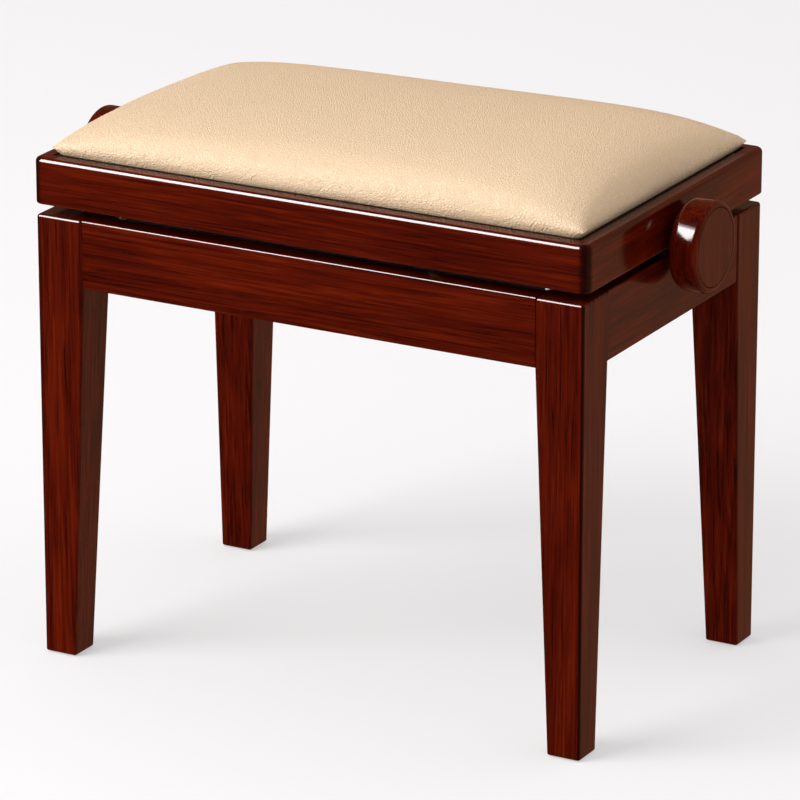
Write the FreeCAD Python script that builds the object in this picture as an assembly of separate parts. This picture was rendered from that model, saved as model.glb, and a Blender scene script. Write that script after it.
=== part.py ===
import FreeCAD, Part
import math
import os

# Height-adjustable piano bench: a polished wooden stand, and a seat that a pair of steel scissors
# carries. A threaded spindle with a knob at each end pulls the scissors up.
# Frame: millimetres, X along the bench, front is -Y, Z up, origin on the floor under the centre.
# The bench is drawn fully lowered.

V = FreeCAD.Vector
X, Y, Z = V(1, 0, 0), V(0, 1, 0), V(0, 0, 1)
ALONG_LEFT_RIGHT = {"left": -1, "right": 1}
ALONG_FRONT_BACK = {"front": -1, "back": 1}

# ---- Stand: four tapered legs and four aprons ----
stand_half_length = 267.0
stand_half_width = 169.0
stand_top = 407.0
apron_height = 62.0
apron_thickness = 20.0
apron_recess = 1.0
leg_top_side = 46.0
leg_foot_side = 31.5
leg_corner_radius = 3.0
leg_top_rounding = 2.6
leg_bracket_chamfer = 6.0
leg_foot_rounding = 1.6
foot_pad_radius = 11.0
foot_pad_height = 1.2
apron_edge_rounding = 1.6
dowel_radius = 4.0
dowel_half_length = 15.0
dowel_edge_distance = 13.0

apron_bottom = stand_top - apron_height
apron_outer_x = stand_half_length - apron_recess
apron_outer_y = stand_half_width - apron_recess
apron_inner_x = apron_outer_x - apron_thickness
apron_inner_y = apron_outer_y - apron_thickness
leg_inner_x = stand_half_length - leg_top_side
leg_inner_y = stand_half_width - leg_top_side
foot_centre_x = stand_half_length - leg_foot_side / 2
foot_centre_y = stand_half_width - leg_foot_side / 2

# ---- Corner brackets that clamp the legs ----
bracket_sheet = 2.5
bracket_set_back = 6.0
bracket_tab = 24.0
bracket_bottom = 364.0
bracket_height = 36.0
hanger_bolt_radius = 4.0
hanger_bolt_inside = 16.0
hanger_bolt_in_leg = 38.0
hanger_nut_flats = 13.0
hanger_nut_height = 6.5
hanger_nut_flange_radius = 9.0
hanger_nut_flange_height = 1.5
bracket_middle_z = bracket_bottom + bracket_height / 2

# ---- Seat frame: four mitred rails with a rebate for the pad ----
seat_half_length = 270.0
seat_half_width = 169.0
seat_frame_top = 458.0
seat_frame_height = 42.0
seat_rail_thickness = 22.0
seat_rail_top_width = 13.0
seat_corner_radius = 8.5
seat_top_rounding = 4.5
seat_bottom_rounding = 2.0
ledge_depth = 19.0
glue_block_side = 24.0
glue_block_clearance = 2.0
mitre_dowel_length = 20.0
# Each rail is cut from the ring by a wedge that reaches past the corners and past the inner edge.
mitre_margin = 20.0
mitre_depth = 60.0

seat_frame_bottom = seat_frame_top - seat_frame_height
ledge_z = seat_frame_top - ledge_depth
seat_inner_x = seat_half_length - seat_rail_thickness
seat_inner_y = seat_half_width - seat_rail_thickness
rebate_x = seat_half_length - seat_rail_top_width
rebate_y = seat_half_width - seat_rail_top_width

# ---- Pad: plywood board, foam and a leather cover ----
leather = 1.2
pad_gap = 1.2
board_thickness = 12.0
pad_corner_radius = 13.0
crown_top = 498.6
pad_shoulder = 466.0
pad_return = 20.0
staple_length = 10.0
staple_width = 1.3
staple_height = 0.6
staple_inset = 14.0
staple_pitch = 35.0
staples_on_long_side = 12
staples_on_short_side = 5
# The crown falls away as (1 - |x|^p)^q on each axis.
crown_power_x, crown_root_x = 3.1, 0.34
crown_power_y, crown_root_y = 1.5, 0.31
crown_shares = (0.3, 0.5, 0.65, 0.8, 0.9, 0.96)
crown_corner_radius = 30.0

pad_half_length = rebate_x - pad_gap
pad_half_width = rebate_y - pad_gap
board_bottom = ledge_z + leather
board_top = board_bottom + board_thickness

# ---- Scissors: pivots lie on two level lines, one in the stand and one in the seat ----
lower_pivot_z = 377.0
pivot_x = -140.0
arm_span = 280.0
lowered_rise = 40.0
raised_rise = 140.0
pin_radius = 4.0
pin_clearance = 0.08
arm_half_width = 10.0
arm_thickness = 4.0
outer_arm_y = 112.0
inner_arm_y = 106.0
brace_radius = 6.0
brace_distance = 50.0
rivet_head_height = 2.5

upper_pivot_z = lower_pivot_z + lowered_rise
lowered_angle = math.degrees(math.asin(lowered_rise / arm_span))
raised_angle = math.degrees(math.asin(raised_rise / arm_span))
slide_x = pivot_x + arm_span * math.cos(math.radians(lowered_angle))
raised_slide_x = pivot_x + arm_span * math.cos(math.radians(raised_angle))

# ---- Steel rails that hold the pivots and the slots ----
rail_y = 119.0
rail_sheet = 3.0
lower_rail_half_length = 158.0
lower_rail_bottom = 361.0
lower_rail_height = 30.0
upper_rail_bottom = 408.0
upper_flange = 23.0
upper_flange_half_length = 230.0
# Between the corner brackets the upper rail reaches down behind the apron's top edge.
deep_web_bottom = 397.0
deep_web_half_length = 205.0
slot_clearance = 0.3
slot_run_out = 6.0
clip_radius = 7.0
clip_thickness = 1.0
clip_gap = 0.3
bolt_head_radius = 6.5
bolt_head_height = 4.0
pivot_nut_flats = 13.0
pivot_nut_height = 4.3
spacer_radius = 7.0
side_play = 0.2

rail_outer_y = rail_y + rail_sheet
end_plate_top = ledge_z - 0.5
end_plate_x = seat_inner_x - rail_sheet
# A tongue under each end plate surrounds the bush. The short aprons are relieved for it on their inside.
tongue_half_width = 14.0
tongue_bottom = 402.0
relief_depth = 5.0
relief_clearance = 3.0

# ---- Spindle, its nut bar and its knobs ----
spindle_radius = 7.0
journal_radius = 6.0
nut_bar_side = 20.0
nut_bore_clearance = 0.3
collar_radius = 12.0
collar_length = 8.0
collar_gap = 0.5
bush_radius = 8.0
bush_flange_radius = 11.0
bush_flange = 2.5
bush_length = 11.0
bush_clearance = 0.06
notch_radius = 9.5
knob_radius = 40.0
knob_length = 28.5
knob_end_x = 305.0
knob_boss_radius = 15.0
knob_boss_gap = 1.0
knob_face_rounding = 4.5
knob_back_rounding = 6.0
knob_bore_depth = 22.0
grub_radius = 2.5
grub_depth = 1.0

spindle_z = upper_pivot_z
shoulder_x = end_plate_x - bush_flange - clip_gap
knob_back_x = knob_end_x - knob_length
boss_x = seat_half_length + knob_boss_gap
journal_end_x = boss_x + knob_bore_depth

# ---- Wood screws ----
screw_radius = 2.0
screw_head_radius = 4.0
screw_head_height = 2.0
screw_length = 14.0
end_plate_screw_places = (-100.0, -45.0, 45.0, 100.0)
board_screw_places = (-215.0, -80.0, 80.0, 215.0)
board_screw_margin = 2.0
lower_rail_screw_share = 0.75


# ---------------------------------------------------------------- helpers
def box(x0, x1, y0, y1, z0, z1):
    return Part.makeBox(x1 - x0, y1 - y0, z1 - z0, V(x0, y0, z0))


def rod(start, direction, radius, length):
    return Part.makeCylinder(radius, length, start, direction)


def prism(points, z0, z1):
    """An upright prism on a closed outline of (x, y) points."""
    corners = [V(x, y, z0) for x, y in points]
    face = Part.Face(Part.makePolygon(corners + corners[:1]))
    return face.extrude(Z * (z1 - z0))


def rounded_outline(x0, x1, y0, y1, radius, z):
    """A level rectangle with round corners, as a wire."""
    diagonal = radius * (1 - math.sqrt(0.5))
    edges = []
    corners = ((x1, y0, -1, 1), (x1, y1, -1, -1), (x0, y1, 1, -1), (x0, y0, 1, 1))
    starts = []
    for x, y, in_x, in_y in corners:
        along_x = V(x + in_x * radius, y, z)
        along_y = V(x, y + in_y * radius, z)
        middle = V(x + in_x * diagonal, y + in_y * diagonal, z)
        first, last = (along_x, along_y) if in_x * in_y < 0 else (along_y, along_x)
        starts.append((first, middle, last))
    for number, (first, middle, last) in enumerate(starts):
        following = starts[(number + 1) % len(starts)][0]
        edges.append(Part.Arc(first, middle, last).toShape())
        edges.append(Part.LineSegment(last, following).toShape())
    return Part.Wire(edges)


def hexagon(centre, direction, flats, height):
    """A nut's outer shape, from centre along a level direction."""
    across = direction.cross(Z)
    corner = flats / math.sqrt(3)
    points = []
    for number in range(7):
        angle = math.radians(60 * number)
        points.append(centre + across * (corner * math.cos(angle)) + Z * (corner * math.sin(angle)))
    return Part.Face(Part.makePolygon(points)).extrude(direction * height)


def wood_screw(surface, direction, length=screw_length):
    """A pan-head screw whose head sits on a surface, driven along direction."""
    head = rod(surface - direction * screw_head_height, direction, screw_head_radius, screw_head_height)
    return head.fuse(rod(surface, direction, screw_radius, length))


def to_corner(shape, side_x, side_y):
    """A shape drawn in the +X +Y corner, mirrored to another corner."""
    if side_x < 0:
        shape = shape.mirror(V(0, 0, 0), X)
    if side_y < 0:
        shape = shape.mirror(V(0, 0, 0), Y)
    return shape


def in_all_corners(shape):
    return [to_corner(shape, side_x, side_y) for side_x in (-1, 1) for side_y in (-1, 1)]


def at_front_and_back(shape):
    """A shape drawn on the back side, and its mirror image on the front side."""
    return [shape, shape.mirror(V(0, 0, 0), Y)]


def edges_at_height(shape, z):
    found = []
    for edge in shape.Edges:
        bounds = edge.BoundBox
        if abs(bounds.ZMin - z) + abs(bounds.ZMax - z) < 0.01:
            found.append(edge)
    return found


def save(node, *solids):
    shape = solids[0] if len(solids) == 1 else Part.makeCompound(list(solids))
    shape.exportStep(f"parts/{node}.step")


# ---------------------------------------------------------------- stand
def dowel_heights():
    return (apron_bottom + dowel_edge_distance, stand_top - dowel_edge_distance)


def corner_dowels():
    """The four dowels of the +X +Y leg: two into the long apron and two into the short one."""
    apron_y = apron_outer_y - apron_thickness / 2
    apron_x = apron_outer_x - apron_thickness / 2
    dowels = []
    for z in dowel_heights():
        into_long = V(leg_inner_x - dowel_half_length, apron_y, z)
        into_short = V(apron_x, leg_inner_y - dowel_half_length, z)
        dowels.append(rod(into_long, X, dowel_radius, 2 * dowel_half_length))
        dowels.append(rod(into_short, Y, dowel_radius, 2 * dowel_half_length))
    return dowels


def hanger_bolt_start():
    """Where the bolt axis meets the bracket's sheet, and the bolt's direction into the leg."""
    direction = V(1, 1, 0).normalize()
    offset = bracket_set_back / 2
    return V(leg_inner_x - offset, leg_inner_y - offset, bracket_middle_z), direction


def hanger_bolt():
    start, direction = hanger_bolt_start()
    length = hanger_bolt_inside + hanger_bolt_in_leg
    return rod(start - direction * hanger_bolt_inside, direction, hanger_bolt_radius, length)


def hanger_nut():
    start, direction = hanger_bolt_start()
    seat = start - direction * bracket_sheet
    flange = rod(seat, direction * -1, hanger_nut_flange_radius, hanger_nut_flange_height)
    nut = hexagon(seat, direction * -1, hanger_nut_flats, hanger_nut_height).fuse(flange)
    return nut.cut(hanger_bolt())


def foot_pad():
    return rod(V(foot_centre_x, foot_centre_y, 0), Z, foot_pad_radius, foot_pad_height)


def leg():
    """The +X +Y leg: square at the apron, tapered on its two inner faces down to the foot."""
    top_outline = rounded_outline(
        leg_inner_x, stand_half_length, leg_inner_y, stand_half_width, leg_corner_radius, apron_bottom
    )
    foot_x = stand_half_length - leg_foot_side
    foot_y = stand_half_width - leg_foot_side
    foot_outline = rounded_outline(
        foot_x, stand_half_length, foot_y, stand_half_width, leg_corner_radius, foot_pad_height
    )
    head = Part.Face(top_outline).extrude(Z * apron_height)
    head = head.makeFillet(leg_top_rounding, edges_at_height(head, stand_top))
    low_x, low_y = leg_inner_x - 1, leg_inner_y - 1
    reach = leg_bracket_chamfer + 2
    seat_for_bracket = prism(
        [(low_x, low_y), (low_x + reach, low_y), (low_x, low_y + reach)], apron_bottom, stand_top
    )
    head = head.cut(seat_for_bracket)
    taper = Part.makeLoft([foot_outline, top_outline], True, True)
    taper = taper.makeFillet(leg_foot_rounding, edges_at_height(taper, foot_pad_height))
    shape = head.fuse(taper)
    for fastener in corner_dowels() + [hanger_bolt()]:
        shape = shape.cut(fastener)
    return shape


def apron(half_length, outer_face):
    """An apron along X whose polished face looks towards +Y."""
    inner_face = outer_face - apron_thickness
    board = box(-half_length, half_length, inner_face, outer_face, apron_bottom, stand_top)
    polished = [
        edge
        for z in (apron_bottom, stand_top)
        for edge in edges_at_height(board, z)
        if abs(edge.CenterOfMass.y - outer_face) < 0.01
    ]
    return board.makeFillet(apron_edge_rounding, polished)


def tongue_relief():
    """The space inside the +X apron's top edge for the end plate's tongue."""
    half = tongue_half_width + relief_clearance
    bottom = tongue_bottom - relief_clearance
    return box(apron_inner_x - 1, apron_inner_x + relief_depth, -half, half, bottom, stand_top + 1)


def corner_bracket():
    """A bent steel strip across the +X +Y corner, with a tab along each apron."""
    line = leg_inner_x + leg_inner_y - bracket_set_back
    bend = bracket_sheet * math.tan(math.radians(22.5))
    start_x = line - apron_inner_y
    start_y = line - apron_inner_x
    near_x = apron_inner_x - bracket_sheet
    near_y = apron_inner_y - bracket_sheet
    outline = [
        (start_x - bracket_tab, apron_inner_y),
        (start_x, apron_inner_y),
        (apron_inner_x, start_y),
        (apron_inner_x, start_y - bracket_tab),
        (near_x, start_y - bracket_tab),
        (near_x, start_y - bend),
        (start_x - bend, near_y),
        (start_x - bracket_tab, near_y),
    ]
    strip = prism(outline, bracket_bottom, bracket_bottom + bracket_height)
    for cutter in [hanger_bolt()] + bracket_screws():
        strip = strip.cut(cutter)
    return strip


def bracket_screws():
    """One screw through each tab of the +X +Y bracket."""
    line = leg_inner_x + leg_inner_y - bracket_set_back
    middle = bracket_tab / 2
    long_side = V(line - apron_inner_y - middle, apron_inner_y - bracket_sheet, bracket_middle_z)
    short_side = V(apron_inner_x - bracket_sheet, line - apron_inner_x - middle, bracket_middle_z)
    return [wood_screw(long_side, Y), wood_screw(short_side, X)]


def make_stand():
    one_leg = leg()
    one_bracket = corner_bracket()
    for end, side_x in ALONG_LEFT_RIGHT.items():
        for face, side_y in ALONG_FRONT_BACK.items():
            save(f"leg_{face}_{end}", to_corner(one_leg, side_x, side_y))
            save(f"corner_bracket_{face}_{end}", to_corner(one_bracket, side_x, side_y))
    dowels = [piece for dowel in corner_dowels() for piece in in_all_corners(dowel)]
    screws = [piece for screw in bracket_screws() for piece in in_all_corners(screw)]
    rail_screws = lower_rail_screws()
    long_apron = apron(leg_inner_x, apron_outer_y)
    short_apron = apron(leg_inner_y, apron_outer_x)
    short_apron.rotate(V(0, 0, 0), Z, -90)
    short_apron = short_apron.cut(tongue_relief())
    for fastener in dowels + screws + rail_screws:
        long_apron = long_apron.cut(fastener)
        short_apron = short_apron.cut(fastener)
    save("apron_back", long_apron)
    save("apron_front", long_apron.mirror(V(0, 0, 0), Y))
    save("apron_right", short_apron)
    save("apron_left", short_apron.mirror(V(0, 0, 0), X))
    save("apron_dowels", *dowels)
    save("bracket_screws", *screws)
    save("hanger_bolts", *in_all_corners(hanger_bolt()))
    save("hanger_nuts", *in_all_corners(hanger_nut()))
    save("foot_pads", *in_all_corners(foot_pad()))


# ---------------------------------------------------------------- lower rails
def slot(z):
    """The slot that a sliding pin runs in, through a rail on the back side."""
    radius = pin_radius + slot_clearance
    low_x = raised_slide_x - slot_run_out
    high_x = slide_x + slot_run_out
    middle = box(low_x, high_x, rail_y - 1, rail_outer_y + 1, z - radius, z + radius)
    ends = [rod(V(x, rail_y - 1, z), Y, radius, rail_sheet + 2) for x in (low_x, high_x)]
    return middle.multiFuse(ends)


def lower_rail_screws():
    surface = apron_inner_y - rail_sheet
    outermost = lower_rail_screw_share * lower_rail_half_length
    screws = [wood_screw(V(x, surface, lower_pivot_z), Y) for x in (-outermost, 0, outermost)]
    return [piece for screw in screws for piece in at_front_and_back(screw)]


def lower_rail():
    """A steel channel against the back apron, open at the top, with the pivot hole and the slot."""
    half = lower_rail_half_length
    top = lower_rail_bottom + lower_rail_height
    floor = box(-half, half, rail_y, apron_inner_y, lower_rail_bottom, lower_rail_bottom + rail_sheet)
    inner_wall = box(-half, half, rail_y, rail_outer_y, lower_rail_bottom, top)
    outer_wall = box(-half, half, apron_inner_y - rail_sheet, apron_inner_y, lower_rail_bottom, top)
    shape = floor.multiFuse([inner_wall, outer_wall]).removeSplitter()
    shape = shape.cut(rod(V(pivot_x, rail_y - 1, lower_pivot_z), Y, pin_radius, rail_sheet + 2))
    for cutter in [slot(lower_pivot_z)] + lower_rail_screws():
        shape = shape.cut(cutter)
    return shape


def pivot_bolt(z, inner_end, shoulder_start):
    """A bolt from inside a rail's outer face through the rail and an arm, with a shoulder as spacer."""
    head = rod(V(pivot_x, rail_outer_y, z), Y, bolt_head_radius, bolt_head_height)
    shank = rod(V(pivot_x, inner_end, z), Y, pin_radius, rail_outer_y - inner_end)
    shoulder = rod(V(pivot_x, shoulder_start, z), Y, spacer_radius, rail_y - shoulder_start)
    return head.multiFuse([shank, shoulder])


def pivot_nut(z, face_y):
    nut = hexagon(V(pivot_x, face_y, z), Y * -1, pivot_nut_flats, pivot_nut_height)
    return nut.cut(rod(V(pivot_x, face_y + 1, z), Y * -1, pin_radius, pivot_nut_height + 2))


def make_lower_rails():
    rail = lower_rail()
    save("lower_rail_back", rail)
    save("lower_rail_front", rail.mirror(V(0, 0, 0), Y))
    save("lower_rail_screws", *lower_rail_screws())
    nut_face = outer_arm_y - side_play
    shoulder = outer_arm_y + arm_thickness + side_play
    bolt = pivot_bolt(lower_pivot_z, nut_face - pivot_nut_height, shoulder)
    save("lower_pivot_bolts", *at_front_and_back(bolt))
    save("lower_pivot_nuts", *at_front_and_back(pivot_nut(lower_pivot_z, nut_face)))


# ---------------------------------------------------------------- scissor arms
def flat_arm(y, loose_hole, tight_hole, middle_hole):
    """A flat bar with round ends, level along X from the origin, with its three pivot holes."""
    bar = box(0, arm_span, y, y + arm_thickness, -arm_half_width, arm_half_width)
    ends = [rod(V(x, y, 0), Y, arm_half_width, arm_thickness) for x in (0, arm_span)]
    shape = bar.multiFuse(ends).removeSplitter()
    for x, radius in ((0, loose_hole), (arm_span / 2, middle_hole), (arm_span, tight_hole)):
        shape = shape.cut(rod(V(x, y - 1, 0), Y, radius, arm_thickness + 2))
    return shape


def turned(shape, angle, z):
    """A shape drawn level from the origin, turned by angle (up is positive) and set on a fixed pivot."""
    placed = shape.copy()
    placed.rotate(V(0, 0, 0), Y * -1, angle)
    placed.translate(V(pivot_x, 0, z))
    return placed


def brace(x, half_length):
    return rod(V(x, -half_length, 0), Y, brace_radius, 2 * half_length)


def centre_rivet():
    """The pin that joins two arms at their middle, riveted over at both ends."""
    outer_face = outer_arm_y + arm_thickness
    inner_face = inner_arm_y - side_play
    middle = arm_span / 2
    shank = rod(V(middle, inner_face, 0), Y, pin_radius, outer_face - inner_face)
    outer_head = rod(V(middle, outer_face, 0), Y, spacer_radius, rivet_head_height)
    inner_head = rod(V(middle, inner_face, 0), Y * -1, spacer_radius, rivet_head_height)
    return shank.multiFuse([outer_head, inner_head])


def centre_washer():
    start = inner_arm_y + arm_thickness + side_play
    length = outer_arm_y - start
    middle = arm_span / 2
    ring = rod(V(middle, start, 0), Y, spacer_radius + 1, length)
    return ring.cut(rod(V(middle, start - 1, 0), Y, pin_radius, length + 2))


def make_outer_arms():
    """The pair that is hinged to the stand and driven by the nut bar at its upper end."""
    running = pin_radius + pin_clearance
    arm = turned(flat_arm(outer_arm_y, running, running, pin_radius), lowered_angle, lower_pivot_z)
    save("outer_arm_back", arm)
    save("outer_arm_front", arm.mirror(V(0, 0, 0), Y))
    save("outer_arm_brace", turned(brace(brace_distance, outer_arm_y), lowered_angle, lower_pivot_z))
    rivet = turned(centre_rivet(), lowered_angle, lower_pivot_z)
    save("centre_rivets", *at_front_and_back(rivet))
    washer = turned(centre_washer(), lowered_angle, lower_pivot_z)
    save("centre_washers", *at_front_and_back(washer))


def sliding_clip(x, z):
    """A retaining ring on a pin's end, just outside a rail's slot."""
    start = rail_outer_y + clip_gap
    ring = rod(V(x, start, z), Y, clip_radius, clip_thickness)
    return ring.cut(rod(V(x, start - 1, z), Y, pin_radius, clip_thickness + 2))


def make_inner_arms():
    """The pair that is hinged to the seat, with its lower end sliding in the stand's rails."""
    running = pin_radius + pin_clearance
    arm = turned(flat_arm(inner_arm_y, running, pin_radius, running), -lowered_angle, upper_pivot_z)
    save("inner_arm_back", arm)
    save("inner_arm_front", arm.mirror(V(0, 0, 0), Y))
    inner_brace = brace(arm_span - brace_distance, inner_arm_y)
    save("inner_arm_brace", turned(inner_brace, -lowered_angle, upper_pivot_z))
    rod_end = rail_outer_y + clip_gap + 2 * clip_thickness
    save("slide_rod", rod(V(slide_x, -rod_end, lower_pivot_z), Y, pin_radius, 2 * rod_end))
    save("slide_rod_clips", *at_front_and_back(sliding_clip(slide_x, lower_pivot_z)))


# ---------------------------------------------------------------- seat frame
def spindle_notch():
    """The slot under a short seat rail that the spindle passes through."""
    start = seat_inner_x - 1
    length = seat_rail_thickness + 2
    arch = rod(V(start, 0, spindle_z), X, notch_radius, length)
    below = box(start, start + length, -notch_radius, notch_radius, seat_frame_bottom - 5, spindle_z)
    return arch.fuse(below)


def mitre_dowel():
    direction = V(1, -1, 0).normalize()
    depth = seat_rail_thickness / 2 + 1
    height = (seat_frame_bottom + ledge_z) / 2
    centre = V(seat_half_length - depth, seat_half_width - depth, height)
    return rod(centre - direction * (mitre_dowel_length / 2), direction, dowel_radius, mitre_dowel_length)


def glue_block():
    """A three-cornered block glued into the +X +Y corner under the ledge."""
    x, y = seat_inner_x, seat_inner_y
    outline = [(x, y), (x - glue_block_side, y), (x, y - glue_block_side)]
    return prism(outline, seat_frame_bottom + glue_block_clearance, ledge_z - glue_block_clearance)


def seat_frame():
    """All four rails as one ring, before the mitres are cut."""
    length, width = seat_half_length, seat_half_width
    outline = rounded_outline(-length, length, -width, width, seat_corner_radius, seat_frame_bottom)
    ring = Part.Face(outline).extrude(Z * seat_frame_height)
    ring = ring.makeFillet(seat_top_rounding, edges_at_height(ring, seat_frame_top))
    ring = ring.makeFillet(seat_bottom_rounding, edges_at_height(ring, seat_frame_bottom))
    above, below = seat_frame_top + 1, seat_frame_bottom - 1
    ring = ring.cut(box(-seat_inner_x, seat_inner_x, -seat_inner_y, seat_inner_y, below, above))
    ring = ring.cut(box(-rebate_x, rebate_x, -rebate_y, rebate_y, ledge_z, above))
    notch = spindle_notch()
    notches = [notch, notch.mirror(V(0, 0, 0), X)]
    for cutter in notches + in_all_corners(mitre_dowel()) + end_plate_screws():
        ring = ring.cut(cutter)
    return ring


def mitre_wedge(half_length, half_width):
    """The space of one rail on the +Y side, between its two 45 degree mitres."""
    outline = [
        (-half_length - mitre_margin, half_width + mitre_margin),
        (half_length + mitre_margin, half_width + mitre_margin),
        (half_length - mitre_depth, half_width - mitre_depth),
        (-half_length + mitre_depth, half_width - mitre_depth),
    ]
    return prism(outline, seat_frame_bottom - 1, seat_frame_top + 1)


def make_seat_frame():
    ring = seat_frame()
    long_wedge = mitre_wedge(seat_half_length, seat_half_width)
    short_wedge = mitre_wedge(seat_half_width, seat_half_length)
    short_wedge.rotate(V(0, 0, 0), Z, -90)
    save("seat_rail_back", ring.common(long_wedge))
    save("seat_rail_front", ring.common(long_wedge.mirror(V(0, 0, 0), Y)))
    save("seat_rail_right", ring.common(short_wedge))
    save("seat_rail_left", ring.common(short_wedge.mirror(V(0, 0, 0), X)))
    save("mitre_dowels", *in_all_corners(mitre_dowel()))
    save("glue_blocks", *in_all_corners(glue_block()))


# ---------------------------------------------------------------- pad
def pad_solid(skin):
    """The pad's outer form, moved in by skin: upright up to its shoulder and crowned above it."""
    rows = [(0.0, 1.0, 1.0, ledge_z), (0.0, 1.0, 1.0, pad_shoulder - skin)]
    for share in crown_shares:
        size_x = (1 - share ** (1 / crown_root_x)) ** (1 / crown_power_x)
        size_y = (1 - share ** (1 / crown_root_y)) ** (1 / crown_power_y)
        z = pad_shoulder + share * (crown_top - pad_shoulder) - skin
        rows.append((share, size_x, size_y, z))
    outlines = []
    for share, size_x, size_y, z in rows:
        half_x = pad_half_length * size_x - skin
        half_y = pad_half_width * size_y - skin
        radius = pad_corner_radius + share * (crown_corner_radius - pad_corner_radius) - skin
        outlines.append(rounded_outline(-half_x, half_x, -half_y, half_y, radius, z))
    return Part.makeLoft(outlines, True, True)


def level_slice(z0, z1):
    """A slice of space between two heights, wider than the pad."""
    return box(-seat_half_length, seat_half_length, -seat_half_width, seat_half_width, z0, z1)


def staple_places():
    """The middle of each staple under the board's rim, with the direction of the rim there."""
    rim_x = pad_half_length - staple_inset
    rim_y = pad_half_width - staple_inset
    places = []
    rows = ((staples_on_long_side, rim_y, True), (staples_on_short_side, rim_x, False))
    for count, rim, along_x in rows:
        for number in range(count):
            along = (number - (count - 1) / 2) * staple_pitch
            for side in (-1, 1):
                places.append((along, side * rim, True) if along_x else (side * rim, along, False))
    return places


def make_pad():
    outer = pad_solid(0)
    inner = pad_solid(leather)
    board = inner.common(level_slice(board_bottom, board_top))
    for screw in board_screws():
        board = board.cut(screw)
    save("seat_board", board)
    save("foam_pad", inner.common(level_slice(board_top, crown_top)))
    under = inner.common(level_slice(ledge_z, board_bottom))
    half_x, half_y = pad_half_length - pad_return, pad_half_width - pad_return
    under = under.cut(box(-half_x, half_x, -half_y, half_y, ledge_z - 1, board_bottom + 1))
    save("leather_cover", outer.cut(inner).fuse(under).removeSplitter())
    low, high = ledge_z - staple_height, ledge_z
    staples = []
    for x, y, along_x in staple_places():
        half_x, half_y = staple_length / 2, staple_width / 2
        if not along_x:
            half_x, half_y = half_y, half_x
        staples.append(box(x - half_x, x + half_x, y - half_y, y + half_y, low, high))
    save("cover_staples", *staples)


# ---------------------------------------------------------------- upper steel frame
def end_plate_screws():
    """Four screws at each end, through the end plate into the short seat rail."""
    z = (seat_frame_bottom + ledge_z) / 2
    screws = [wood_screw(V(end_plate_x, y, z), X) for y in end_plate_screw_places]
    return screws + [screw.mirror(V(0, 0, 0), X) for screw in screws]


def board_screws():
    """Four screws in each upper rail's flange, up into the seat board."""
    y = rail_outer_y - upper_flange / 2 - rail_sheet
    surface = board_bottom - rail_sheet
    length = rail_sheet + board_thickness - board_screw_margin
    screws = [wood_screw(V(x, y, surface), Z, length) for x in board_screw_places]
    return [piece for screw in screws for piece in at_front_and_back(screw)]


def upper_rail():
    """A steel angle under the board, with the fixed pivot's hole and the nut bar's slot."""
    web = box(-end_plate_x, end_plate_x, rail_y, rail_outer_y, upper_rail_bottom, end_plate_top)
    half = upper_flange_half_length
    tall_web = box(-half, half, rail_y, rail_outer_y, upper_rail_bottom, board_bottom)
    half_deep = deep_web_half_length
    deep_web = box(-half_deep, half_deep, rail_y, rail_outer_y, deep_web_bottom, board_bottom)
    flange_y = rail_outer_y - upper_flange
    flange = box(-half, half, flange_y, rail_outer_y, board_bottom - rail_sheet, board_bottom)
    shape = web.multiFuse([tall_web, deep_web, flange]).removeSplitter()
    shape = shape.cut(rod(V(pivot_x, rail_y - 1, upper_pivot_z), Y, pin_radius, rail_sheet + 2))
    for cutter in [slot(upper_pivot_z)] + board_screws():
        shape = shape.cut(cutter)
    return shape


def end_plate():
    """The +X end of the steel frame, with the bush's hole."""
    half = tongue_half_width
    plate = box(end_plate_x, seat_inner_x, -rail_outer_y, rail_outer_y, upper_rail_bottom, end_plate_top)
    tongue = box(end_plate_x, seat_inner_x, -half, half, tongue_bottom, end_plate_top)
    plate = plate.fuse(tongue).removeSplitter()
    plate = plate.cut(rod(V(end_plate_x - 1, 0, spindle_z), X, bush_radius, rail_sheet + 2))
    for screw in end_plate_screws():
        plate = plate.cut(screw)
    return plate


def spindle_bush():
    flange = rod(V(end_plate_x - bush_flange, 0, spindle_z), X, bush_flange_radius, bush_flange)
    body = rod(V(end_plate_x, 0, spindle_z), X, bush_radius, bush_length)
    start = end_plate_x - bush_flange - 1
    length = bush_flange + bush_length + 2
    bore = rod(V(start, 0, spindle_z), X, journal_radius + bush_clearance, length)
    return flange.fuse(body).cut(bore)


def make_upper_steel():
    rail = upper_rail()
    save("upper_rail_back", rail)
    save("upper_rail_front", rail.mirror(V(0, 0, 0), Y))
    plate = end_plate()
    save("end_plate_right", plate)
    save("end_plate_left", plate.mirror(V(0, 0, 0), X))
    bush = spindle_bush()
    save("spindle_bushes", bush, bush.mirror(V(0, 0, 0), X))
    save("end_plate_screws", *end_plate_screws())
    save("board_screws", *board_screws())
    nut_face = inner_arm_y - side_play
    shoulder = inner_arm_y + arm_thickness + side_play
    bolt = pivot_bolt(upper_pivot_z, nut_face - pivot_nut_height, shoulder)
    save("upper_pivot_bolts", *at_front_and_back(bolt))
    save("upper_pivot_nuts", *at_front_and_back(pivot_nut(upper_pivot_z, nut_face)))


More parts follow.
